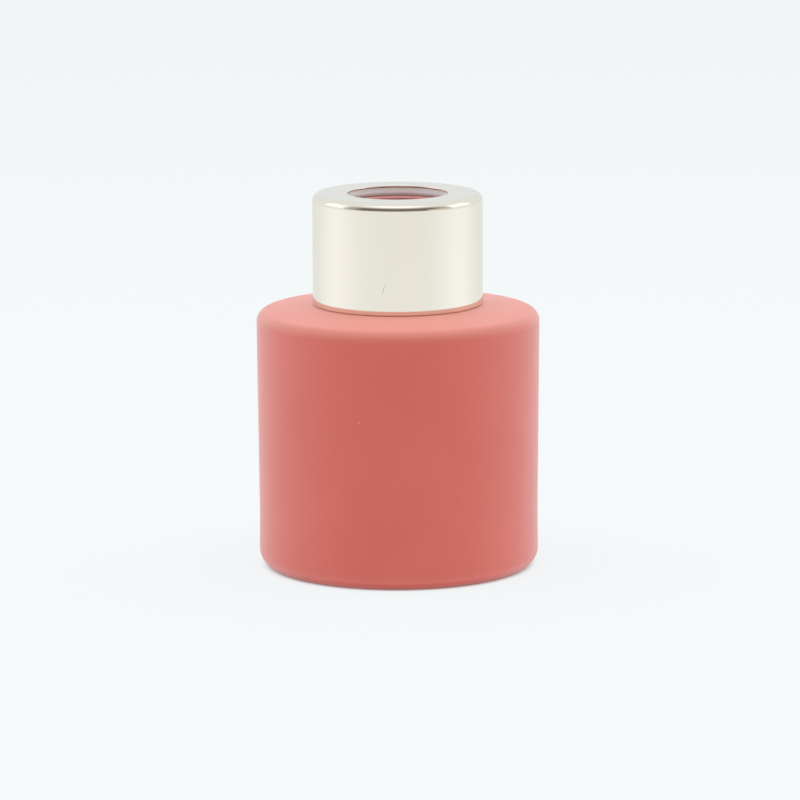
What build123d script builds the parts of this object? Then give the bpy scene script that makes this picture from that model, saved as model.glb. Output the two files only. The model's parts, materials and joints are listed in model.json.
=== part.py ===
from build123d import *
import math
import os

# Reed diffuser bottle: a lacquered glass bottle with a screw collar.
# The origin is on the bottle's axis, on the plane that it stands on. +Z points up. Millimetres.

# Bottle body, outside
BODY_TOP_R = 24.66
BODY_WAIST_R = 24.38
BODY_HEEL_R = 24.44
WAIST_Z = 11.0
HEEL_Z = 3.0
HEEL_INSET = 2.8
SHOULDER_FOOT_Z = 46.15
SHOULDER_FOOT_R = 14.9
SHOULDER_SLOPE_DEG = 7.4
SHOULDER_EDGE_R = 1.96

# Bottle underside: a bearing ring around a shallow punt
PUNT_R = 19.0
PUNT_DEPTH = 1.3

# Glass thickness and inner shape
WALL = 2.6
FLOOR_EDGE_Z = 4.2
FLOOR_RISE = 0.8
INNER_HEEL_R = 5.0
INNER_SHOULDER_R = 6.0
SHOULDER_THICKNESS = 2.9
NECK_BORE_R = 8.0
NECK_BORE_BLEND_R = 2.2

# Neck finish: 24 mm, one and a half turns, eight turns to the inch
RIM_Z = 63.75
NECK_R = 10.65
NECK_FOOT_R = 1.2
RIM_OUTER_ROUND = 0.6
RIM_INNER_ROUND = 0.5
THREAD_PITCH = 25.4 / 8
THREAD_TURNS = 1.5
THREAD_CREST_R = 11.8
THREAD_CREST_HALF = 0.45
THREAD_ROOT_HALF = 0.95
THREAD_TOP_BELOW_RIM = 2.3
BEAD_Z = 50.2
BEAD_CREST_R = 11.6
BEAD_HALF = 0.9

# Collar shell: drawn aluminium
COLLAR_R = 14.84
COLLAR_FOOT_Z = 46.26
COLLAR_TOP_Z = 65.59
SHELL_T = 0.45
SHELL_TOP_ROUND = 1.35
COLLAR_HOLE_R = 8.75
HOLE_LIP_ROUND = 0.2
FOOT_ROUND = 0.15

# Collar liner: moulded, threaded, pressed into the shell
LINER_R = 13.4
LINER_INNER_R = 12.1
LINER_FOOT_Z = 47.3
LINER_HOLE_R = 9.2
LINER_FLANGE_T = 0.85
LINER_TOP_GAP = 0.02
LINER_FOOT_CHAMFER = 0.5
LINER_THREAD_CREST_R = 10.95
LINER_CREST_HALF = 0.3
LINER_ROOT_HALF = 0.8
LINER_THREAD_DROP = 1.34
LINER_THREAD_START_TURNS = -0.5
RIB_COUNT = 24
RIB_WIDTH = 1.1
RIB_TOP_Z = 63.2

# Seal ring between the liner's flange and the rim
SEAL_R = 11.8
SEAL_HOLE_R = 9.25
SEAL_T = 0.45
SEAL_GAP = 0.04

# A swept thread is rooted this deep in its wall, so that the two fuse cleanly
THREAD_EMBED = 0.3


def ring_solid(outline):
    """Turn a closed outline of edges, drawn as (radius, height), into a solid of revolution."""
    return revolve(Plane.XZ * make_face(outline), Axis.Z)


def fillet_tangents(radius, corner_r, corner_z, slope_deg):
    """Where a round of this radius meets a falling slope and the vertical wall at corner_r."""
    slope = math.radians(slope_deg)
    reach = radius * math.tan((math.pi / 2 - slope) / 2)
    on_slope = (corner_r - reach * math.cos(slope), corner_z + reach * math.sin(slope))
    on_wall = (corner_r, corner_z - reach)
    return on_slope, on_wall


def thread_ridge(root_r, crest_r, root_half, crest_half, start_z, start_turns, turns):
    """A right-hand ridge of trapezium section. It may stand outwards or inwards."""
    outwards = 1 if crest_r > root_r else -1
    buried_r = root_r - outwards * THREAD_EMBED
    flank = (root_half - crest_half) / abs(crest_r - root_r)
    buried_half = root_half + flank * THREAD_EMBED
    path = Helix(pitch=THREAD_PITCH, height=turns * THREAD_PITCH, radius=buried_r)
    depth = abs(crest_r - buried_r)
    corners = [(0, -buried_half), (depth, -crest_half), (depth, crest_half), (0, buried_half)]
    section_plane = Plane(origin=(buried_r, 0, 0), x_dir=(outwards, 0, 0), z_dir=(0, outwards, 0))
    section = section_plane * make_face(Polyline(*corners, close=True))
    ridge = sweep(section, path, is_frenet=True)
    lifted = Pos(0, 0, start_z + start_turns * THREAD_PITCH) * ridge
    return Rot(0, 0, 360 * start_turns) * lifted


def bottle_outside():
    """The bottle's outer form, solid all through, up to the rim."""
    slope = math.radians(SHOULDER_SLOPE_DEG)
    corner_z = SHOULDER_FOOT_Z - (BODY_TOP_R - SHOULDER_FOOT_R) * math.tan(slope)
    on_slope, on_wall = fillet_tangents(SHOULDER_EDGE_R, BODY_TOP_R, corner_z, SHOULDER_SLOPE_DEG)
    foot_z = SHOULDER_FOOT_Z + (SHOULDER_FOOT_R - NECK_R) * math.tan(slope)
    bearing_r = BODY_HEEL_R - HEEL_INSET
    punt_edge = (PUNT_R, 0)
    waist = (BODY_WAIST_R, WAIST_Z)
    taper = (BODY_WAIST_R - BODY_TOP_R, WAIST_Z - on_wall[1])
    outline = Wire(
        [
            Edge.make_line((0, PUNT_DEPTH), (0, RIM_Z)),
            Edge.make_line((0, RIM_Z), (NECK_R, RIM_Z)),
            Edge.make_line((NECK_R, RIM_Z), (NECK_R, foot_z)),
            Edge.make_line((NECK_R, foot_z), on_slope),
            Edge.make_tangent_arc(on_slope, Vector(math.cos(slope), -math.sin(slope)), on_wall),
            Edge.make_line(on_wall, waist),
            Edge.make_spline([waist, (BODY_HEEL_R, HEEL_Z)], tangents=[taper, (0, -1)]),
            heel_curve(bearing_r),
            Edge.make_line((bearing_r, 0), punt_edge),
            Edge.make_tangent_arc((0, PUNT_DEPTH), Vector(1, 0), punt_edge),
        ]
    )
    return ring_solid(outline)


def heel_curve(bearing_r):
    """A quarter ellipse, as a cubic curve, from the bearing ring up to the widest point of the heel."""
    lead = 4 / 3 * (math.sqrt(2) - 1)
    return Edge.make_bezier(
        (bearing_r, 0),
        (bearing_r + lead * HEEL_INSET, 0),
        (BODY_HEEL_R, HEEL_Z * (1 - lead)),
        (BODY_HEEL_R, HEEL_Z),
    )


def bottle_inside():
    """The space for the liquid and the bore of the neck."""
    inner_r = BODY_TOP_R - WALL
    ceiling_z = SHOULDER_FOOT_Z - SHOULDER_THICKNESS
    above_rim = RIM_Z + 1
    floor = (inner_r - INNER_HEEL_R, FLOOR_EDGE_Z)
    wall_foot = (inner_r, FLOOR_EDGE_Z + INNER_HEEL_R)
    wall_head = (inner_r, ceiling_z - INNER_SHOULDER_R)
    ceiling_edge = (inner_r - INNER_SHOULDER_R, ceiling_z)
    bore_foot = (NECK_BORE_R, ceiling_z + NECK_BORE_BLEND_R)
    blend_foot = (NECK_BORE_R + NECK_BORE_BLEND_R, ceiling_z)
    outline = Wire(
        [
            Edge.make_line((0, above_rim), (0, FLOOR_EDGE_Z + FLOOR_RISE)),
            Edge.make_spline([(0, FLOOR_EDGE_Z + FLOOR_RISE), floor], tangents=[(1, 0), (1, 0)]),
            Edge.make_tangent_arc(floor, Vector(1, 0), wall_foot),
            Edge.make_line(wall_foot, wall_head),
            Edge.make_tangent_arc(wall_head, Vector(0, 1), ceiling_edge),
            Edge.make_line(ceiling_edge, blend_foot),
            Edge.make_tangent_arc(blend_foot, Vector(-1, 0), bore_foot),
            Edge.make_line(bore_foot, (NECK_BORE_R, above_rim)),
            Edge.make_line((NECK_BORE_R, above_rim), (0, above_rim)),
        ]
    )
    return ring_solid(outline)


def bead():
    """The rounded ring below the thread, where the glass is held while it is moulded."""
    ends = [(NECK_R - THREAD_EMBED, BEAD_Z + side * BEAD_HALF) for side in (-1, 1)]
    crest = (BEAD_CREST_R, BEAD_Z)
    outline = Wire([Edge.make_three_point_arc(ends[0], crest, ends[1]), Edge.make_line(ends[1], ends[0])])
    return ring_solid(outline)


def edges_at(solid, radius, height):
    """The circular edges of a solid that have this radius and height."""
    circles = solid.edges().filter_by(GeomType.CIRCLE)
    return [e for e in circles if abs(e.radius - radius) < 0.01 and abs(e.center().Z - height) < 0.01]


def bottle():
    """The glass bottle, with its threaded neck."""
    glass = bottle_outside() - bottle_inside()
    slope_rise = (SHOULDER_FOOT_R - NECK_R) * math.tan(math.radians(SHOULDER_SLOPE_DEG))
    glass = fillet(edges_at(glass, NECK_R, RIM_Z), RIM_OUTER_ROUND)
    glass = fillet(edges_at(glass, NECK_BORE_R, RIM_Z), RIM_INNER_ROUND)
    glass = fillet(edges_at(glass, NECK_R, SHOULDER_FOOT_Z + slope_rise), NECK_FOOT_R)
    thread_foot_z = RIM_Z - THREAD_TOP_BELOW_RIM - THREAD_TURNS * THREAD_PITCH
    ridge = thread_ridge(
        NECK_R, THREAD_CREST_R, THREAD_ROOT_HALF, THREAD_CREST_HALF, thread_foot_z, 0, THREAD_TURNS
    )
    return glass + bead() + ridge


def collar_shell():
    """The drawn aluminium cup, open below, with the round hole in its top."""
    inner_r = COLLAR_R - SHELL_T
    inner_top_z = COLLAR_TOP_Z - SHELL_T
    cup = Pos(0, 0, COLLAR_FOOT_Z) * extrude(Circle(COLLAR_R), COLLAR_TOP_Z - COLLAR_FOOT_Z)
    cup = fillet(edges_at(cup, COLLAR_R, COLLAR_TOP_Z), SHELL_TOP_ROUND)
    hollow = Pos(0, 0, COLLAR_FOOT_Z) * extrude(Circle(inner_r), inner_top_z - COLLAR_FOOT_Z)
    hollow = fillet(edges_at(hollow, inner_r, inner_top_z), SHELL_TOP_ROUND - SHELL_T)
    hole = Pos(0, 0, COLLAR_FOOT_Z) * extrude(Circle(COLLAR_HOLE_R), COLLAR_TOP_Z - COLLAR_FOOT_Z)
    shell = cup - hollow - hole
    for z in (COLLAR_TOP_Z, inner_top_z):
        shell = fillet(edges_at(shell, COLLAR_HOLE_R, z), HOLE_LIP_ROUND)
    for radius in (COLLAR_R, inner_r):
        shell = fillet(edges_at(shell, radius, COLLAR_FOOT_Z), FOOT_ROUND)
    return shell


def liner_top_z():
    """The top of the liner's flange, just under the shell's top."""
    return COLLAR_TOP_Z - SHELL_T - LINER_TOP_GAP


def liner_rib():
    """One upright rib that grips the inside of the shell, at angle zero."""
    outer_r = COLLAR_R - SHELL_T
    inner_r = LINER_R - THREAD_EMBED
    height = RIB_TOP_Z - LINER_FOOT_Z
    band = Pos(0, 0, LINER_FOOT_Z) * extrude(Circle(outer_r) - Circle(inner_r), height)
    bar = Pos(outer_r, 0, LINER_FOOT_Z + height / 2) * Box(outer_r, RIB_WIDTH, height)
    return bar & band


def collar_liner():
    """The moulded liner: a flange with a hole, a threaded skirt and outer ribs."""
    top_z = liner_top_z()
    flange_foot_z = top_z - LINER_FLANGE_T
    skirt = Pos(0, 0, LINER_FOOT_Z) * extrude(Circle(LINER_R), top_z - LINER_FOOT_Z)
    hollow = Pos(0, 0, LINER_FOOT_Z) * extrude(Circle(LINER_INNER_R), flange_foot_z - LINER_FOOT_Z)
    hole = Pos(0, 0, LINER_FOOT_Z) * extrude(Circle(LINER_HOLE_R), top_z - LINER_FOOT_Z)
    liner = skirt - hollow - hole
    liner = chamfer(edges_at(liner, LINER_INNER_R, LINER_FOOT_Z), LINER_FOOT_CHAMFER)
    ribs = PolarLocations(0, RIB_COUNT) * liner_rib()
    bottle_thread_foot_z = RIM_Z - THREAD_TOP_BELOW_RIM - THREAD_TURNS * THREAD_PITCH
    ridge = thread_ridge(
        LINER_INNER_R,
        LINER_THREAD_CREST_R,
        LINER_ROOT_HALF,
        LINER_CREST_HALF,
        bottle_thread_foot_z - LINER_THREAD_DROP,
        LINER_THREAD_START_TURNS,
        THREAD_TURNS,
    )
    return liner + ribs + ridge


def seal_ring():
    """The flat washer that the liner's flange presses on the rim."""
    foot_z = RIM_Z + SEAL_GAP
    return Pos(0, 0, foot_z) * extrude(Circle(SEAL_R) - Circle(SEAL_HOLE_R), SEAL_T)


NODES = {
    "bottle": bottle,
    "collar_shell": collar_shell,
    "collar_liner": collar_liner,
    "seal_ring": seal_ring,
}

os.makedirs("parts", exist_ok=True)
for name, make in NODES.items():
    export_step(make(), f"parts/{name}.step")
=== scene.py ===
import json
import math

import bmesh
import bpy
from mathutils import Matrix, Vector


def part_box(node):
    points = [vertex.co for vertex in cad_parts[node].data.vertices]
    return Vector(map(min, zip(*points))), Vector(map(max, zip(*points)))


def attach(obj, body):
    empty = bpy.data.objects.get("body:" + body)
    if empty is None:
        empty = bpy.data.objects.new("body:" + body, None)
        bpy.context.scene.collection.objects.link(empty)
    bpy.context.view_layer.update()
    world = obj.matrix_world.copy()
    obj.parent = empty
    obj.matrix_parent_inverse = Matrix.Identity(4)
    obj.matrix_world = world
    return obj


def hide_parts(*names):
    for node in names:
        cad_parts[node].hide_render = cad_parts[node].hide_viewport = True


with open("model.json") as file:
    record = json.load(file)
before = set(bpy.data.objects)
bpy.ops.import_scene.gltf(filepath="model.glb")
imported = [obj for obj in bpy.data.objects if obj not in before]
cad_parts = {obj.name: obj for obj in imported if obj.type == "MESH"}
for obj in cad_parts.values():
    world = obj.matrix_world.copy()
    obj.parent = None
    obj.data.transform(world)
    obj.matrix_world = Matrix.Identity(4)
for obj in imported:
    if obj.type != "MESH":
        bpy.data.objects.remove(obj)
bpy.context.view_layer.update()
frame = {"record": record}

# Outlines are drawn as (radius, height) in millimetres. Blender's scene is in metres.
MM = 0.001
TURN = 2 * math.pi

# Points closer than this, in millimetres, count as one
SAME_POINT = 1e-4
# Points this near a wall, in millimetres, lie on it
ON_THE_WALL = 1e-3
# Radii and heights below this, in millimetres, count as nothing
NOTHING = 1e-6

# How far a quarter circle's curve leads along each tangent, as a share of its radius
QUARTER_CIRCLE_LEAD = 0.552

# ---------------------------------------------------------------- sizes from the frame


def box_mm(node):
    """A CAD node's outer radius, its lowest height and its highest height."""
    low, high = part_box(node)
    return min(high.x, high.y) / MM, low.z / MM, high.z / MM


def mount_mm(name, key):
    """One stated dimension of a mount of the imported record."""
    mounts = frame["record"]["mounts"]
    return next(m["dims"][key] for m in mounts if m["name"] == name)


BODY_R, _, RIM_Z = box_mm("bottle")
COLLAR_R, COLLAR_FOOT_Z, COLLAR_TOP_Z = box_mm("collar_shell")
LINER_RIB_R, LINER_FOOT_Z, LINER_TOP_Z = box_mm("collar_liner")
SEAL_R, SEAL_FOOT_Z, SEAL_TOP_Z = box_mm("seal_ring")
BORE_R = mount_mm("neck_bore", "r_mm")

# Bottle, outside. The wall narrows from the heel to the waist, and widens from there to the shoulder.
WAIST_R = BODY_R - 0.28
WAIST_Z = 11.0
HEEL_R = BODY_R - 0.22
HEEL_Z = 3.0
BEARING_OUTER_R = HEEL_R - 2.8
BEARING_INNER_R = 19.0
PUNT_DEPTH = 1.3
FLARE_LEAD = 3.0
SHOULDER_FOOT_R = COLLAR_R + 0.06
SHOULDER_FOOT_Z = COLLAR_FOOT_Z - 0.11
SHOULDER_SLOPE_DEG = 7.4
SHOULDER_EDGE_R = 1.96

# Bottle, inside. The floor is flat at its edge and rises to a low crest in the middle.
WALL = 2.6
FLOOR_EDGE_Z = 4.2
FLOOR_RISE = 0.8
FLOOR_FLAT_FROM = 0.6
FLOOR_CREST_FROM = 0.4
INNER_HEEL_R = 5.0
INNER_SHOULDER_R = 6.0
CEILING_Z = SHOULDER_FOOT_Z - 2.9
BORE_BLEND_R = 2.2

# Neck: a 24 mm finish, with a bead and one and a half turns of thread
NECK_R = 10.65
NECK_FOOT_R = 1.2
RIM_OUTER_ROUND = 0.6
RIM_INNER_ROUND = 0.5
BEAD_Z = 50.2
BEAD_CREST_R = 11.6
BEAD_HALF = 0.8
THREAD_PITCH = 25.4 / 8
THREAD_TURNS = 1.5
THREAD_TOP_DROP = 2.3
THREAD_FOOT_Z = RIM_Z - THREAD_TOP_DROP - THREAD_TURNS * THREAD_PITCH
THREAD_FADE_TURNS = 0.11
THREAD_DEPTH = 1.15
THREAD_ROOT_HALF = 0.95
THREAD_CREST_HALF = 0.35

# Underside: rows of small raised dots on the bearing ring. A breadth over 1 gives a dot a flat top.
DOT_COUNT = 72
DOT_ROWS = 3
DOT_DEPTH = 0.14
DOT_BREADTH_ROUND = 1.6
DOT_BREADTH_ACROSS = 1.4

# Collar shell, with its wall turned in a little at the foot
SHELL_T = 0.45
SHELL_TOP_ROUND = 1.35
HOLE_R = 8.75
HOLE_LIP_ROUND = 0.2
FOOT_ROUND = 0.15
FOOT_TURN_R = 10.3
FOOT_TURN_Z = 1.1

# Collar liner: a flange, and a threaded skirt with upright ribs that grip the shell
LINER_R = 13.4
LINER_INNER_R = 12.1
LINER_HOLE_R = 9.2
FLANGE_T = 0.85
LINER_EDGE_ROUND = 0.15
LINER_CHAMFER = 0.5
RIB_COUNT = 24
RIB_HALF = 0.55
RIB_EDGE = 0.15
RIB_TOP_Z = 63.2
RIB_TOP_FADE = 0.6
RIB_FOOT_FADE = 0.3
LINER_THREAD_DROP = 1.34
LINER_THREAD_START_TURNS = -0.5
LINER_THREAD_ROOT_HALF = 0.8
LINER_THREAD_CREST_HALF = 0.25

# Seal ring, between the flange and the rim
SEAL_HOLE_R = 9.25
SEAL_ROUND = 0.12

# How finely round things are cut
BODY_SEGMENTS = 288
COLLAR_SEGMENTS = 384
THREADED_WALL_STEPS = 110
RIBBED_WALL_STEPS = 40
DOTTED_RING_STEPS = 20

# Straights longer than LONG_STRAIGHT get a point GUARD inside each end, in millimetres
LONG_STRAIGHT = 1.0
GUARD = 0.05

# ---------------------------------------------------------------- outlines


def arc(centre, radius, start_deg, end_deg, steps):
    """Points along an arc. 0 degrees points outwards and 90 degrees upwards."""
    points = []
    for i in range(steps + 1):
        angle = math.radians(start_deg + (end_deg - start_deg) * i / steps)
        points.append((centre[0] + radius * math.cos(angle), centre[1] + radius * math.sin(angle)))
    return points


def line(start, end, steps):
    """Points along a straight line, both ends included."""
    shares = [i / steps for i in range(steps + 1)]
    return [(start[0] + (end[0] - start[0]) * t, start[1] + (end[1] - start[1]) * t) for t in shares]


def curve(controls, steps):
    """Points along a cubic curve with four control points."""
    points = []
    for i in range(steps + 1):
        t = i / steps
        weights = ((1 - t) ** 3, 3 * t * (1 - t) ** 2, 3 * t * t * (1 - t), t**3)
        points.append(tuple(sum(w * c[k] for w, c in zip(weights, controls)) for k in (0, 1)))
    return points


def join(*runs):
    """One outline from several runs of points, with no point given twice in a row.

    Long straights get a point just inside each end, so that the rounding beside them doesn't tilt their
    shading.
    """
    outline = []
    for point in (p for run in runs for p in run):
        if not outline:
            outline.append(point)
            continue
        last = outline[-1]
        gap = math.dist(point, last)
        if gap > LONG_STRAIGHT:
            step = [(point[k] - last[k]) * GUARD / gap for k in (0, 1)]
            outline.append((last[0] + step[0], last[1] + step[1]))
            outline.append((point[0] - step[0], point[1] - step[1]))
        if gap > SAME_POINT:
            outline.append(point)
    return outline


def smooth(x):
    """0 below 0, 1 above 1, and an easy slope between."""
    x = min(max(x, 0.0), 1.0)
    return x * x * (3 - 2 * x)


def underside():
    """From the middle of the punt out to the widest point of the heel."""
    punt_r = (BEARING_INNER_R**2 + PUNT_DEPTH**2) / (2 * PUNT_DEPTH)
    centre = (0, PUNT_DEPTH - punt_r)
    edge_deg = math.degrees(math.acos(BEARING_INNER_R / punt_r))
    lead = QUARTER_CIRCLE_LEAD * (HEEL_R - BEARING_OUTER_R)
    heel = [
        (BEARING_OUTER_R, 0),
        (BEARING_OUTER_R + lead, 0),
        (HEEL_R, HEEL_Z * (1 - QUARTER_CIRCLE_LEAD)),
        (HEEL_R, HEEL_Z),
    ]
    return join(
        arc(centre, punt_r, 90, edge_deg, steps=24),
        line((BEARING_INNER_R, 0), (BEARING_OUTER_R, 0), DOTTED_RING_STEPS),
        curve(heel, steps=20),
    )


def body_wall():
    """From the heel up the wall and round the shoulder's edge to the foot of the neck."""
    slope = math.radians(SHOULDER_SLOPE_DEG)
    edge_z = SHOULDER_FOOT_Z - (BODY_R - SHOULDER_FOOT_R) * math.tan(slope)
    reach = SHOULDER_EDGE_R * math.tan((math.pi / 2 - slope) / 2)
    centre = (BODY_R - SHOULDER_EDGE_R, edge_z - reach)
    neck_foot_z = SHOULDER_FOOT_Z + (SHOULDER_FOOT_R - NECK_R) * math.tan(slope)
    neck_reach = NECK_FOOT_R * math.tan((math.pi / 2 - slope) / 2)
    neck_centre = (NECK_R + NECK_FOOT_R, neck_foot_z + neck_reach)
    taper = (BODY_R - WAIST_R) / (centre[1] - WAIST_Z)
    flare = [
        (HEEL_R, HEEL_Z),
        (HEEL_R, HEEL_Z + FLARE_LEAD),
        (WAIST_R - FLARE_LEAD * taper, WAIST_Z - FLARE_LEAD),
        (WAIST_R, WAIST_Z),
    ]
    return join(
        curve(flare, steps=12),
        line((WAIST_R, WAIST_Z), (BODY_R, centre[1]), steps=8),
        arc(centre, SHOULDER_EDGE_R, 0, 90 - SHOULDER_SLOPE_DEG, steps=24),
        arc(neck_centre, NECK_FOOT_R, 270 - SHOULDER_SLOPE_DEG, 180, steps=10),
    )


def neck():
    """From the foot of the neck over the bead and the thread to the rim and down into the bore."""
    rise = BEAD_CREST_R - NECK_R
    bead_r = (BEAD_HALF**2 + rise**2) / (2 * rise)
    reach_deg = math.degrees(math.asin(BEAD_HALF / bead_r))
    rim_outer = (NECK_R - RIM_OUTER_ROUND, RIM_Z - RIM_OUTER_ROUND)
    rim_inner = (BORE_R + RIM_INNER_ROUND, RIM_Z - RIM_INNER_ROUND)
    return join(
        arc((BEAD_CREST_R - bead_r, BEAD_Z), bead_r, -reach_deg, reach_deg, steps=14),
        line((NECK_R, BEAD_Z + BEAD_HALF), (NECK_R, rim_outer[1]), THREADED_WALL_STEPS),
        arc(rim_outer, RIM_OUTER_ROUND, 0, 90, steps=10),
        arc(rim_inner, RIM_INNER_ROUND, 90, 180, steps=10),
    )


def bottle_inside():
    """From the top of the bore down the inside to the middle of the floor."""
    inner_r = BODY_R - WALL
    blend = (BORE_R + BORE_BLEND_R, CEILING_Z + BORE_BLEND_R)
    shoulder = (inner_r - INNER_SHOULDER_R, CEILING_Z - INNER_SHOULDER_R)
    heel = (inner_r - INNER_HEEL_R, FLOOR_EDGE_Z + INNER_HEEL_R)
    floor_r = heel[0]
    crest_z = FLOOR_EDGE_Z + FLOOR_RISE
    floor = [
        (floor_r, FLOOR_EDGE_Z),
        (floor_r * FLOOR_FLAT_FROM, FLOOR_EDGE_Z),
        (floor_r * FLOOR_CREST_FROM, crest_z),
        (0, crest_z),
    ]
    return join(
        line((BORE_R, RIM_Z - RIM_INNER_ROUND), (BORE_R, blend[1]), steps=6),
        arc(blend, BORE_BLEND_R, 180, 270, steps=12),
        arc(shoulder, INNER_SHOULDER_R, 90, 0, steps=14),
        line((inner_r, shoulder[1]), (inner_r, heel[1]), steps=6),
        arc(heel, INNER_HEEL_R, 0, -90, steps=14),
        curve(floor, steps=24),
    )


def shell_outline():
    """The closed outline of the drawn metal cup, from its foot up the outside and back down inside."""
    inner_r = COLLAR_R - SHELL_T
    under_z = COLLAR_TOP_Z - SHELL_T
    foot_z = COLLAR_FOOT_Z + FOOT_ROUND
    lip_z = COLLAR_TOP_Z - HOLE_LIP_ROUND
    lip_r = HOLE_R + HOLE_LIP_ROUND
    corner = (COLLAR_R - SHELL_TOP_ROUND, COLLAR_TOP_Z - SHELL_TOP_ROUND)
    turn = (COLLAR_R - FOOT_TURN_R, COLLAR_FOOT_Z + FOOT_TURN_Z)
    turn_angle = math.asin((FOOT_TURN_Z - FOOT_ROUND) / (FOOT_TURN_R - FOOT_ROUND))
    turn_deg = math.degrees(turn_angle)
    foot_r = turn[0] + (FOOT_TURN_R - FOOT_ROUND) * math.cos(turn_angle)
    return join(
        arc((foot_r, foot_z), FOOT_ROUND, -90, -turn_deg, steps=6),
        arc(turn, FOOT_TURN_R, -turn_deg, 0, steps=12),
        arc(corner, SHELL_TOP_ROUND, 0, 90, steps=24),
        arc((lip_r, lip_z), HOLE_LIP_ROUND, 90, 180, steps=6),
        arc((lip_r, under_z + HOLE_LIP_ROUND), HOLE_LIP_ROUND, 180, 270, steps=6),
        arc(corner, SHELL_TOP_ROUND - SHELL_T, 90, 0, steps=8),
        arc((inner_r + FOOT_ROUND, foot_z), FOOT_ROUND, 180, 270, steps=5),
    )


def liner_outline():
    """The closed outline of the moulded liner, from its foot up the ribbed outside and back down inside."""
    edge = LINER_EDGE_ROUND
    flange_z = LINER_TOP_Z - FLANGE_T
    chamfer_top = (LINER_INNER_R, LINER_FOOT_Z + LINER_CHAMFER)
    chamfer_foot = (LINER_INNER_R + LINER_CHAMFER, LINER_FOOT_Z)
    ribs_foot = (LINER_R, LINER_FOOT_Z + RIB_FOOT_FADE)
    ribs_top = (LINER_R, RIB_TOP_Z + RIB_TOP_FADE)
    return join(
        arc((LINER_R - edge, LINER_FOOT_Z + edge), edge, -90, 0, steps=4),
        line(ribs_foot, ribs_top, RIBBED_WALL_STEPS),
        arc((LINER_R - edge, LINER_TOP_Z - edge), edge, 0, 90, steps=4),
        arc((LINER_HOLE_R + edge, LINER_TOP_Z - edge), edge, 90, 180, steps=4),
        arc((LINER_HOLE_R + edge, flange_z + edge), edge, 180, 270, steps=4),
        line((LINER_INNER_R, flange_z), chamfer_top, THREADED_WALL_STEPS),
        line(chamfer_top, chamfer_foot, steps=3),
    )


def seal_outline():
    """The closed outline of the soft washer, a rounded bar."""
    outer_r = SEAL_R - SEAL_ROUND
    inner_r = SEAL_HOLE_R + SEAL_ROUND
    low_z = SEAL_FOOT_Z + SEAL_ROUND
    high_z = SEAL_TOP_Z - SEAL_ROUND
    return join(
        arc((outer_r, low_z), SEAL_ROUND, -90, 0, steps=4),
        arc((outer_r, high_z), SEAL_ROUND, 0, 90, steps=4),
        arc((inner_r, high_z), SEAL_ROUND, 90, 180, steps=4),
        arc((inner_r, low_z), SEAL_ROUND, 180, 270, steps=4),
    )


# ---------------------------------------------------------------- shapes that vary round the axis


def thread_height(angle, z, foot_z, start_turns, root_half, crest_half):
    """How far a right-hand thread stands out of its wall at this angle and height."""
    tallest = 0.0
    for whole_turns in range(-1, 3):
        along = angle / TURN + whole_turns - start_turns
        if not 0 < along < THREAD_TURNS:
            continue
        centre_z = foot_z + (along + start_turns) * THREAD_PITCH
        across = smooth((root_half - abs(z - centre_z)) / (root_half - crest_half))
        fade = smooth(along / THREAD_FADE_TURNS) * smooth((THREAD_TURNS - along) / THREAD_FADE_TURNS)
        tallest = max(tallest, THREAD_DEPTH * across * fade)
    return tallest


def height_beside_dots(angle, radius):
    """How high the bearing ring's surface lies at this angle and radius. A dot's top is at 0."""
    across = (radius - BEARING_INNER_R) / (BEARING_OUTER_R - BEARING_INNER_R)
    in_middle_row = 1 / DOT_ROWS < across < 2 / DOT_ROWS
    half_a_dot = math.pi if in_middle_row else 0
    dot_round = smooth(DOT_BREADTH_ROUND * math.cos(angle * DOT_COUNT + half_a_dot))
    dot_across = smooth(DOT_BREADTH_ACROSS * math.sin(DOT_ROWS * math.pi * across) ** 2)
    return DOT_DEPTH * (1 - dot_round * dot_across) * math.sqrt(math.sin(math.pi * across))


def bottle_place(angle, radius, z):
    """The bottle's surface: the thread stands out of the neck, and the dots out of the bearing ring."""
    if abs(radius - NECK_R) < ON_THE_WALL and z > BEAD_Z + BEAD_HALF:
        radius += thread_height(angle, z, THREAD_FOOT_Z, 0, THREAD_ROOT_HALF, THREAD_CREST_HALF)
    if z < NOTHING and BEARING_INNER_R < radius < BEARING_OUTER_R:
        z = height_beside_dots(angle, radius)
    return radius, z


def rib_height(angle, z):
    """How far the liner's upright ribs stand out of its wall at this angle and height."""
    from_rib = abs((angle * RIB_COUNT / TURN + 0.5) % 1 - 0.5) * TURN / RIB_COUNT * LINER_R
    at_foot = smooth((z - LINER_FOOT_Z) / RIB_FOOT_FADE)
    at_top = smooth((RIB_TOP_Z + RIB_TOP_FADE - z) / RIB_TOP_FADE)
    across = smooth((RIB_HALF + RIB_EDGE - from_rib) / (2 * RIB_EDGE))
    return (LINER_RIB_R - LINER_R) * across * at_foot * at_top


def liner_place(angle, radius, z):
    """The liner's surface: ribs outside, and a thread inside."""
    if abs(radius - LINER_R) < ON_THE_WALL:
        radius += rib_height(angle, z)
    if abs(radius - LINER_INNER_R) < ON_THE_WALL:
        radius -= thread_height(
            angle,
            z,
            THREAD_FOOT_Z - LINER_THREAD_DROP,
            LINER_THREAD_START_TURNS,
            LINER_THREAD_ROOT_HALF,
            LINER_THREAD_CREST_HALF,
        )
    return radius, z


def plain_place(_angle, radius, z):
    """A surface that is the same all round."""
    return radius, z


# ---------------------------------------------------------------- meshes


def ring_of_vertices(bm, point, segments, place):
    """One ring of the lathed mesh, or a single vertex where the outline touches the axis."""
    radius, z = point
    if radius < NOTHING:
        return [bm.verts.new((0, 0, z * MM))]
    ring = []
    for i in range(segments):
        angle = TURN * i / segments
        r, height = place(angle, radius, z)
        ring.append(bm.verts.new((r * math.cos(angle) * MM, r * math.sin(angle) * MM, height * MM)))
    return ring


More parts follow.
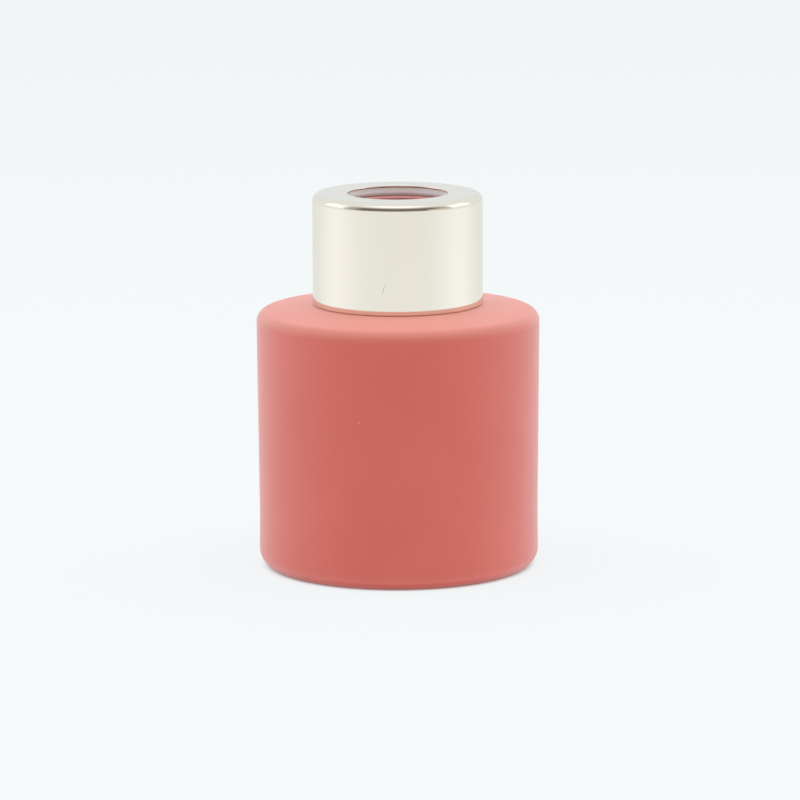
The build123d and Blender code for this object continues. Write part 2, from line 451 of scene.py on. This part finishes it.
def bridge(bm, ring_a, ring_b, material_index):
    """The band of faces between two neighbouring rings. A ring of one vertex gives triangles."""
    count = max(len(ring_a), len(ring_b))
    for i in range(count):
        j = (i + 1) % count
        corners = [ring[k % len(ring)] for ring, k in ((ring_a, i), (ring_a, j), (ring_b, j), (ring_b, i))]
        face = bm.faces.new(list(dict.fromkeys(corners)))
        face.smooth = True
        face.material_index = material_index


def lathe(name, outline, segments, place, closed=True, inside_from=None):
    """A solid turned from its outline. Faces after the point inside_from get the second material."""
    bm = bmesh.new()
    rings = [ring_of_vertices(bm, point, segments, place) for point in outline]
    pairs = list(zip(rings, rings[1:]))
    if closed:
        pairs.append((rings[-1], rings[0]))
    for i, (ring_a, ring_b) in enumerate(pairs):
        inside = inside_from is not None and i >= inside_from
        bridge(bm, ring_a, ring_b, 1 if inside else 0)
    bmesh.ops.recalc_face_normals(bm, faces=bm.faces)
    mesh = bpy.data.meshes.new(name)
    bm.to_mesh(mesh)
    bm.free()
    piece = bpy.data.objects.new(name, mesh)
    bpy.context.scene.collection.objects.link(piece)
    return piece


# ---------------------------------------------------------------- node helpers


class Nodes:
    """Short calls for building a node tree."""

    def __init__(self, tree):
        self.tree = tree
        tree.nodes.clear()

    def give(self, socket, value):
        """Sets a socket to a value, or links it to another node's socket."""
        if isinstance(value, bpy.types.NodeSocket):
            self.tree.links.new(value, socket)
        else:
            socket.default_value = value

    def add(self, kind, inputs=None, **settings):
        """A node with its settings and inputs."""
        node = self.tree.nodes.new(kind)
        for key, value in settings.items():
            setattr(node, key, value)
        for key, value in (inputs or {}).items():
            self.give(node.inputs[key], value)
        return node

    def math(self, operation, a, b=0.0):
        """The result of one sum."""
        return self.add("ShaderNodeMath", {0: a, 1: b}, operation=operation).outputs[0]

    def vector(self, operation, a, b, result="Vector"):
        """The result of one sum on two vectors."""
        return self.add("ShaderNodeVectorMath", {0: a, 1: b}, operation=operation).outputs[result]

    def length(self, vector):
        """A vector's length."""
        return self.add("ShaderNodeVectorMath", {0: vector}, operation="LENGTH").outputs["Value"]

    def split(self, vector):
        """A vector's three numbers, called X, Y and Z."""
        return self.add("ShaderNodeSeparateXYZ", {0: vector}).outputs

    def ramp(self, value, low, high, start=0.0, end=1.0):
        """A smooth change from start to end while value goes from low to high."""
        inputs = {"Value": value, "From Min": low, "From Max": high, "To Min": start, "To Max": end}
        return self.add("ShaderNodeMapRange", inputs, interpolation_type="SMOOTHSTEP").outputs["Result"]

    def band(self, value, low, high, edge):
        """1 between low and high, with an easy slope of the given width inside each end, and 0 beyond."""
        rise = self.ramp(value, low, low + edge)
        fall = self.ramp(value, high, high - edge)
        return self.math("MULTIPLY", rise, fall)

    def noise(self, vector, scale, detail):
        """Soft noise. Scale is in features per metre."""
        inputs = {"Vector": vector, "Scale": scale, "Detail": detail}
        return self.add("ShaderNodeTexNoise", inputs).outputs["Fac"]

    def bump(self, height, strength, depth):
        """The surface's direction under a fine relief, whose full depth is in metres."""
        inputs = {"Strength": strength, "Distance": depth, "Height": height}
        return self.add("ShaderNodeBump", inputs).outputs[0]

    def mix(self, share, a, b):
        """A blend of two colours."""
        node = self.add("ShaderNodeMix", data_type="RGBA")
        for index, value in ((0, share), (6, a), (7, b)):
            self.give(node.inputs[index], value)
        return node.outputs[2]

    def stops(self, value, stops):
        """A colour read from a row of (place, colour) stops, with places from 0 to 1."""
        node = self.add("ShaderNodeValToRGB", {0: value})
        elements = node.color_ramp.elements
        for i, (position, colour) in enumerate(stops):
            element = elements[i] if i < 2 else elements.new(position)
            element.position = position
            element.color = colour
        return node.outputs["Color"]

    def place(self):
        """A point's place on the piece, in metres."""
        return self.add("ShaderNodeTexCoord").outputs["Object"]

    def surface(self, inputs):
        """Gives the material its surface."""
        shader = self.add("ShaderNodeBsdfPrincipled", inputs)
        self.add("ShaderNodeOutputMaterial", {"Surface": shader.outputs[0]})


def new_material(name):
    """An empty node material."""
    material = bpy.data.materials.new(name)
    material.use_nodes = True
    return material, Nodes(material.node_tree)


def rgb(red, green, blue):
    """A linear colour."""
    return (red, green, blue, 1.0)


# ---------------------------------------------------------------- materials

# Parts of the noise's span from 0 to 1 over which a look changes
WHOLE_NOISE = (0.2, 0.8)
MID_NOISE = (0.3, 0.7)
NARROW_NOISE = (0.35, 0.65)

CORAL = rgb(0.825, 0.166, 0.132)
CORAL_DEEP = rgb(0.785, 0.153, 0.121)

# Painted light on the shoulder, at these shares of the way up it: painted shade on its rounded edge, and a
# paler, pinker painted highlight up by the collar
SHOULDER_PAINTED_LIGHT_Z = SHOULDER_FOOT_Z - 3.25
SHOULDER_PAINTED_LIGHT_RISE = 3.2
SHOULDER_PAINTED_LIGHT_FULL = 0.2
SHOULDER_PAINTED_LIGHT = (
    (0.02, CORAL),
    (0.27, rgb(0.76, 0.195, 0.155)),
    (0.56, rgb(0.74, 0.235, 0.178)),
    (0.72, rgb(0.89, 0.26, 0.205)),
    (1.0, rgb(0.96, 0.33, 0.26)),
)

# Painted sheen on the rim, greyer and paler, for the glancing light there; painted shade at the foot, deep
# red, for the shadow under the heel
RIM_PAINTED_SHEEN = rgb(0.74, 0.36, 0.34)
RIM_SHEEN_STARTS_Z = RIM_Z - 1.5
RIM_SHEEN_FULL_Z = RIM_Z - 0.6
# Painted shade on the heel's lowest strip, where it sits in the floor's shadow
FOOT_PAINTED_SHADE = rgb(0.62, 0.06, 0.03)
FOOT_SHADE_STARTS_Z = 1.7
FOOT_SHADE_FULL_Z = 0.7

# Dust on the body: angle from the front towards the right in degrees, and height in millimetres
DUST_R = 0.17
DUST_CORE_R = 0.5 * DUST_R
PALE_DUST_TONE = rgb(0.88, 0.42, 0.35)
PALE_DUST = ((60.2, 40.3), (36.6, 38.2), (-24.7, 16.8), (-16.0, 29.4), (67.6, 15.7))
DARK_DUST_TONE = rgb(0.50, 0.10, 0.08)
DARK_DUST = ((-20.8, 34.7), (-58.7, 18.0), (37.1, 17.7))

# The lacquer's back, seen through the glass
COAT_BACK_DEEP = rgb(0.58, 0.20, 0.18)
COAT_BACK_PALE = rgb(0.66, 0.25, 0.22)

# The collar's metal, in faint upright bands, and its scratch
GOLD_GREEN = rgb(0.870, 0.825, 0.708)
GOLD_WARM = rgb(0.880, 0.812, 0.708)
GOLD_EDGE_TINT = rgb(0.93, 0.93, 0.93)
UPRIGHT_STRETCH = (1.0, 1.0, 0.04)
SCRATCH_TONE = rgb(0.55, 0.50, 0.43)
SCRATCH_TURN_DEG = -9.5
SCRATCH_Z = 50.8
SCRATCH_LEAN_DEG = -14
SCRATCH_HALF_LENGTH = 1.25
SCRATCH_HALF_WIDTH = 0.08
SCRATCH_CORE_HALF_WIDTH = 0.4 * SCRATCH_HALF_WIDTH

# The two milky plastics glow faintly: painted light, standing in for the light that scatters inside them
LINER_DEEP = rgb(0.86, 0.86, 0.88)
LINER_PALE = rgb(0.90, 0.90, 0.92)
LINER_GLOW = rgb(0.85, 1.0, 1.0)
SEAL_DEEP = rgb(0.68, 0.62, 0.64)
SEAL_PALE = rgb(0.74, 0.68, 0.70)
SEAL_GLOW = rgb(1.0, 0.85, 0.88)


def point_on_wall(turn_deg, z, wall_r):
    """A point on an upright round wall, at an angle from the front towards the right, in metres."""
    angle = math.radians(turn_deg)
    return (wall_r * math.sin(angle) * MM, -wall_r * math.cos(angle) * MM, z * MM)


def dust(nodes, place, spots):
    """A mask of small round spots on the body's wall, each given by its angle and height."""
    mask = 0.0
    for turn_deg, z in spots:
        centre = point_on_wall(turn_deg, z, (BODY_R + WAIST_R) / 2)
        distance = nodes.vector("DISTANCE", place, centre, "Value")
        mask = nodes.math("MAXIMUM", mask, nodes.ramp(distance, DUST_R * MM, DUST_CORE_R * MM))
    return mask


def scratch(nodes, place):
    """A mask of the one short scratch low on the collar's front, leaning a little."""
    away = nodes.vector("SUBTRACT", place, point_on_wall(SCRATCH_TURN_DEG, SCRATCH_Z, COLLAR_R))
    lean = {"Vector": away, "Angle": math.radians(SCRATCH_LEAN_DEG)}
    upright = nodes.add("ShaderNodeVectorRotate", lean, rotation_type="Y_AXIS").outputs[0]
    squat = (1.0, 1.0, SCRATCH_HALF_WIDTH / SCRATCH_HALF_LENGTH)
    distance = nodes.length(nodes.vector("MULTIPLY", upright, squat))
    return nodes.ramp(distance, SCRATCH_HALF_WIDTH * MM, SCRATCH_CORE_HALF_WIDTH * MM)


def coat_colour(nodes, place, grain):
    """The lacquer's colour: clouded on the wall, with painted highlight and shade on the shoulder, painted
    sheen on the rim, painted shade at the foot, and dust.
    """
    clouds = nodes.noise(place, 70, 2)
    cloud_share = nodes.ramp(clouds, *MID_NOISE, 0.0, 0.7)
    grain_share = nodes.ramp(grain, *MID_NOISE, 0.0, 0.3)
    wall_tone = nodes.mix(nodes.math("ADD", cloud_share, grain_share), CORAL_DEEP, CORAL)
    height = nodes.split(place)["Z"]
    # Painted highlight and shade on the shoulder, by height from its edge up to the collar
    above_wall = nodes.math("SUBTRACT", height, SHOULDER_PAINTED_LIGHT_Z * MM)
    up_shoulder = nodes.math("DIVIDE", above_wall, SHOULDER_PAINTED_LIGHT_RISE * MM)
    shoulder_light_share = nodes.ramp(up_shoulder, 0.0, SHOULDER_PAINTED_LIGHT_FULL)
    colour = nodes.mix(shoulder_light_share, wall_tone, nodes.stops(up_shoulder, SHOULDER_PAINTED_LIGHT))
    rim_sheen_share = nodes.ramp(height, RIM_SHEEN_STARTS_Z * MM, RIM_SHEEN_FULL_Z * MM)
    foot_shade_share = nodes.ramp(height, FOOT_SHADE_STARTS_Z * MM, FOOT_SHADE_FULL_Z * MM)
    # Painted sheen on the rim and painted shade at the foot, then dust
    for share, tone in (
        (rim_sheen_share, RIM_PAINTED_SHEEN),
        (foot_shade_share, FOOT_PAINTED_SHADE),
        (dust(nodes, place, PALE_DUST), PALE_DUST_TONE),
        (dust(nodes, place, DARK_DUST), DARK_DUST_TONE),
    ):
        colour = nodes.mix(share, colour, tone)
    return colour


def lacquer_material():
    """Matt coral lacquer with a fine spray grain."""
    material, nodes = new_material("coral_lacquer")
    place = nodes.place()
    grain = nodes.noise(place, 2600, 2)
    nodes.surface({
        "Base Color": coat_colour(nodes, place, grain),
        "Roughness": nodes.ramp(grain, *WHOLE_NOISE, 0.5, 0.58),
        "Normal": nodes.bump(grain, 0.12, 0.00004),
        "IOR": 1.45,
        "Sheen Weight": 0.5,
        "Sheen Roughness": 0.5,
    })
    return material


def glass_over_lacquer_material():
    """The inside: clear glass with the lacquer's back seen through it, glossy and a little uneven."""
    material, nodes = new_material("glass_over_coral")
    place = nodes.place()
    clouds = nodes.noise(place, 90, 2)
    waves = nodes.noise(place, 160, 1)
    nodes.surface({
        "Base Color": nodes.mix(nodes.ramp(clouds, *NARROW_NOISE), COAT_BACK_DEEP, COAT_BACK_PALE),
        "Roughness": nodes.ramp(waves, *MID_NOISE, 0.06, 0.12),
        "Normal": nodes.bump(waves, 0.15, 0.0004),
        "IOR": 1.52,
        "Coat Weight": 0.6,
        "Coat Roughness": 0.03,
    })
    return material


def gold_material():
    """Polished, anodised aluminium in pale gold, with upright drawing marks and hairlines."""
    material, nodes = new_material("champagne_gold")
    place = nodes.place()
    stretch = {"Vector": place, "Scale": UPRIGHT_STRETCH}
    upright = nodes.add("ShaderNodeMapping", stretch).outputs[0]
    bands = nodes.noise(upright, 260, 2)
    hairs = nodes.noise(upright, 5200, 3)
    metal = nodes.mix(nodes.ramp(bands, *NARROW_NOISE), GOLD_GREEN, GOLD_WARM)
    nodes.surface({
        "Base Color": nodes.mix(scratch(nodes, place), metal, SCRATCH_TONE),
        "Metallic": 1.0,
        "Specular Tint": GOLD_EDGE_TINT,
        "Roughness": nodes.ramp(hairs, *MID_NOISE, 0.05, 0.08),
        "Normal": nodes.bump(hairs, 0.05, 0.00001),
    })
    return material


def liner_material():
    """Natural white polypropylene: milky, softly glossy, with faint flow marks."""
    material, nodes = new_material("white_polypropylene")
    flow = nodes.noise(nodes.place(), 420, 3)
    nodes.surface({
        "Base Color": nodes.mix(nodes.ramp(flow, *MID_NOISE), LINER_DEEP, LINER_PALE),
        "Roughness": nodes.ramp(flow, *MID_NOISE, 0.34, 0.44),
        "Normal": nodes.bump(flow, 0.1, 0.00003),
        "IOR": 1.49,
        # Painted light: a faint glow that brightens the liner
        "Emission Color": LINER_GLOW,
        "Emission Strength": 0.24,
    })
    return material


def seal_material():
    """Milky soft washer, satin, with a fine moulded grain."""
    material, nodes = new_material("milky_elastomer")
    grain = nodes.noise(nodes.place(), 1800, 2)
    nodes.surface({
        "Base Color": nodes.mix(nodes.ramp(grain, *MID_NOISE), SEAL_DEEP, SEAL_PALE),
        "Roughness": nodes.ramp(grain, *MID_NOISE, 0.5, 0.62),
        "Normal": nodes.bump(grain, 0.2, 0.00003),
        "IOR": 1.42,
        # Painted light: a faint glow that brightens the washer
        "Emission Color": SEAL_GLOW,
        "Emission Strength": 0.06,
    })
    return material


# ---------------------------------------------------------------- the object's pieces


def stand_for(piece, node, body, slot, *materials):
    """The piece takes the CAD node's place and body, and gets its materials. The slot is not used."""
    for material in materials:
        piece.data.materials.append(material)
    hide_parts(node)
    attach(piece, body)


def add_bottle():
    """The lacquered glass bottle with its threaded neck."""
    outside = join(underside(), body_wall(), neck())
    piece = lathe(
        "lacquered_bottle",
        join(outside, bottle_inside()),
        BODY_SEGMENTS,
        bottle_place,
        closed=False,
        inside_from=len(outside) - 1,
    )
    stand_for(piece, "bottle", "bottle", "coral_lacquer", lacquer_material(), glass_over_lacquer_material())


def add_collar():
    """The polished shell and the liner inside it."""
    shell = lathe("gold_collar", shell_outline(), COLLAR_SEGMENTS, plain_place)
    stand_for(shell, "collar_shell", "collar", "gold_aluminium", gold_material())
    liner = lathe("threaded_liner", liner_outline(), COLLAR_SEGMENTS, liner_place)
    stand_for(liner, "collar_liner", "collar", "white_plastic", liner_material())


def add_seal():
    """The soft washer under the liner's flange."""
    piece = lathe("rim_washer", seal_outline(), BODY_SEGMENTS, plain_place)
    stand_for(piece, "seal_ring", "seal", "clear_seal", seal_material())


# ---------------------------------------------------------------- the studio

# The floor's colour is dark and its glow is bright, so shadows on it stay faint. Distances are in metres.
FLOOR_HALF = 6.0
FLOOR_DEEP = rgb(0.115, 0.12, 0.122)
FLOOR_PALE = rgb(0.125, 0.13, 0.132)
FLOOR_GLOW = rgb(0.905, 0.938, 0.948)
GLOW_NEAR = 0.86
GLOW_FAR = 0.838
GLOW_FADE_FROM = 0.1
GLOW_FADE_TO = 0.8

# On each side the floor glows more, for the bottle's wall and the collar to reflect
SIDE_GLOW = rgb(1.06, 1.10, 1.16)
SIDE_GLOW_FROM = 0.14
SIDE_GLOW_TO = 0.55
SIDE_GLOW_EDGE = 0.1
SIDE_GLOW_NARROWNESS = 6.0

# Under the bottle the glow turns dark red: a painted contact shadow, tinted with light bounced off the
# lacquer
CONTACT_PAINTED_SHADOW = rgb(0.24, 0.02, 0.01)
CONTACT_FROM = 0.0216
CONTACT_TO = 0.0241


def floor_glow(nodes, place, distance):
    """The colour of the floor's glow: even, brighter on each side, and dark red under the bottle as a
    painted contact shadow.
    """
    sideways = nodes.math("DIVIDE", nodes.math("ABSOLUTE", nodes.split(place)["X"]), distance)
    to_the_side = nodes.math("POWER", sideways, SIDE_GLOW_NARROWNESS)
    at_distance = nodes.band(distance, SIDE_GLOW_FROM, SIDE_GLOW_TO, SIDE_GLOW_EDGE)
    glow = nodes.mix(nodes.math("MULTIPLY", to_the_side, at_distance), FLOOR_GLOW, SIDE_GLOW)
    # Painted contact shadow: the glow turns dark red close under the bottle
    return nodes.mix(nodes.ramp(distance, CONTACT_FROM, CONTACT_TO), CONTACT_PAINTED_SHADOW, glow)


def floor_material():
    """Plain, pale and matt, mostly lit from below like a light table."""
    material, nodes = new_material("pale_floor")
    place = nodes.place()
    distance = nodes.length(place)
    grain = nodes.noise(place, 900, 2)
    nodes.surface({
        "Base Color": nodes.mix(nodes.ramp(grain, *WHOLE_NOISE), FLOOR_DEEP, FLOOR_PALE),
        "Roughness": 0.9,
        "Specular IOR Level": 0.0,
        "Emission Color": floor_glow(nodes, place, distance),
        "Emission Strength": nodes.ramp(distance, GLOW_FADE_FROM, GLOW_FADE_TO, GLOW_NEAR, GLOW_FAR),
    })
    return material


def add_floor():
    """One large square."""
    mesh = bpy.data.meshes.new("floor")
    corners = [(x * FLOOR_HALF, y * FLOOR_HALF, 0) for x, y in ((-1, -1), (1, -1), (1, 1), (-1, 1))]
    mesh.from_pydata(corners, [], [(0, 1, 2, 3)])
    mesh.materials.append(floor_material())
    floor = bpy.data.objects.new("floor", mesh)
    bpy.context.scene.collection.objects.link(floor)


ALL_ROUND = rgb(0.87, 0.91, 0.94)
DARK_ROOM = rgb(0.20, 0.18, 0.155)
OVERHEAD = rgb(1.27, 1.30, 1.32)
SIDE_PANEL = rgb(1.24, 1.27, 1.30)
WARM_CORNER = rgb(0.70, 0.65, 0.58)

# The front's colours by height: 0 is level and 1 is straight up
FRONT_BY_HEIGHT = (
    (0.02, ALL_ROUND),
    (0.04, DARK_ROOM),
    (0.58, DARK_ROOM),
    (0.67, rgb(0.50, 0.48, 0.45)),
    (0.78, rgb(0.72, 0.74, 0.74)),
    (0.89, OVERHEAD),
    (0.98, OVERHEAD),
    (1.0, ALL_ROUND),
)

# How much of the front is seen, by turn: 0 is the front and 1 is the back
FRONT_BY_TURN = (
    (0.28, rgb(1.0, 1.0, 1.0)),
    (0.36, rgb(0.62, 0.62, 0.62)),
    (0.40, rgb(0.55, 0.55, 0.55)),
    (0.445, rgb(0.0, 0.0, 0.0)),
)

# Turns and heights of the side panels and of the warm corner, which is on the right only
PANEL_TURNS = (0.445, 0.665)
PANEL_TURN_EDGE = 0.015
PANEL_HEIGHTS = (0.15, 0.66)
PANEL_HEIGHT_EDGE = 0.05
CORNER_TURNS = (0.22, 0.44)
CORNER_TURN_EDGE = 0.03
CORNER_FULL_BELOW = 0.15
CORNER_GONE_ABOVE = 0.4


def add_world():
    """Pale light all round and overhead, a bright panel on each side, and a dark room in front."""
    world = bpy.data.worlds.new("studio")
    bpy.context.scene.world = world
    world.use_nodes = True
    nodes = Nodes(world.node_tree)
    direction = nodes.split(nodes.add("ShaderNodeTexCoord").outputs["Generated"])
    height = direction["Z"]
    forwards = nodes.math("MULTIPLY", direction["Y"], -1.0)
    turn = nodes.math("DIVIDE", nodes.math("ARCTAN2", direction["X"], forwards), math.pi)
    turn_either_way = nodes.math("ABSOLUTE", turn)
    front_share = nodes.stops(turn_either_way, FRONT_BY_TURN)
    colour = nodes.mix(front_share, ALL_ROUND, nodes.stops(height, FRONT_BY_HEIGHT))
    corner_turns = nodes.band(turn, *CORNER_TURNS, CORNER_TURN_EDGE)
    corner_heights = nodes.ramp(height, CORNER_GONE_ABOVE, CORNER_FULL_BELOW)
    colour = nodes.mix(nodes.math("MULTIPLY", corner_turns, corner_heights), colour, WARM_CORNER)
    panel_turns = nodes.band(turn_either_way, *PANEL_TURNS, PANEL_TURN_EDGE)
    panel_heights = nodes.band(height, *PANEL_HEIGHTS, PANEL_HEIGHT_EDGE)
    colour = nodes.mix(nodes.math("MULTIPLY", panel_turns, panel_heights), colour, SIDE_PANEL)
    background = nodes.add("ShaderNodeBackground", {"Color": colour, "Strength": 1.0})
    nodes.add("ShaderNodeOutputWorld", {"Surface": background.outputs[0]})


SOFTBOX_WIDTH = 1.1
SOFTBOX_DEPTH = 0.7
SOFTBOX_AWAY = 1.28
SOFTBOX_TILT_DEG = 6
SOFTBOX_STRENGTH = 2.6


def add_softbox():
    """A large soft lamp overhead, a little in front of the bottle. The gold reflects only the world."""
    data = bpy.data.lights.new("softbox", "AREA")
    data.shape = "RECTANGLE"
    data.size = SOFTBOX_WIDTH
    data.size_y = SOFTBOX_DEPTH
    data.energy = SOFTBOX_STRENGTH * math.pi * SOFTBOX_WIDTH * SOFTBOX_DEPTH
    lamp = bpy.data.objects.new("softbox", data)
    tilt = math.radians(SOFTBOX_TILT_DEG)
    lamp.location = (0, -SOFTBOX_AWAY * math.sin(tilt), SOFTBOX_AWAY * math.cos(tilt))
    lamp.rotation_euler = (tilt, 0, 0)
    lamp.visible_glossy = False
    bpy.context.scene.collection.objects.link(lamp)


CAMERA_PLACE = (0, -0.85, 0.18562)
CAMERA_PITCH_DEG = -10.4426
CAMERA_YAW_DEG = -0.02
CAMERA_ROLL_DEG = -0.2476
CAMERA_LENS_MM = 222.5
CAMERA_SENSOR_MM = 36


def add_camera():
    """A long lens, looking slightly down on the bottle, held a quarter of a degree off level."""
    data = bpy.data.cameras.new("camera")
    data.lens = CAMERA_LENS_MM
    data.sensor_width = CAMERA_SENSOR_MM
    camera = bpy.data.objects.new("camera", data)
    yaw = Matrix.Rotation(math.radians(CAMERA_YAW_DEG), 4, "Z")
    pitch = Matrix.Rotation(math.radians(90 + CAMERA_PITCH_DEG), 4, "X")
    roll = Matrix.Rotation(math.radians(CAMERA_ROLL_DEG), 4, "Z")
    camera.matrix_world = Matrix.Translation(CAMERA_PLACE) @ yaw @ pitch @ roll
    bpy.context.scene.collection.objects.link(camera)
    bpy.context.scene.camera = camera


def set_colour_handling():
    """Colours go to the picture as they are, with no film look."""
    bpy.context.scene.view_settings.view_transform = "Standard"


add_bottle()
add_collar()
add_seal()
add_floor()
add_world()
add_softbox()
add_camera()
set_colour_handling()
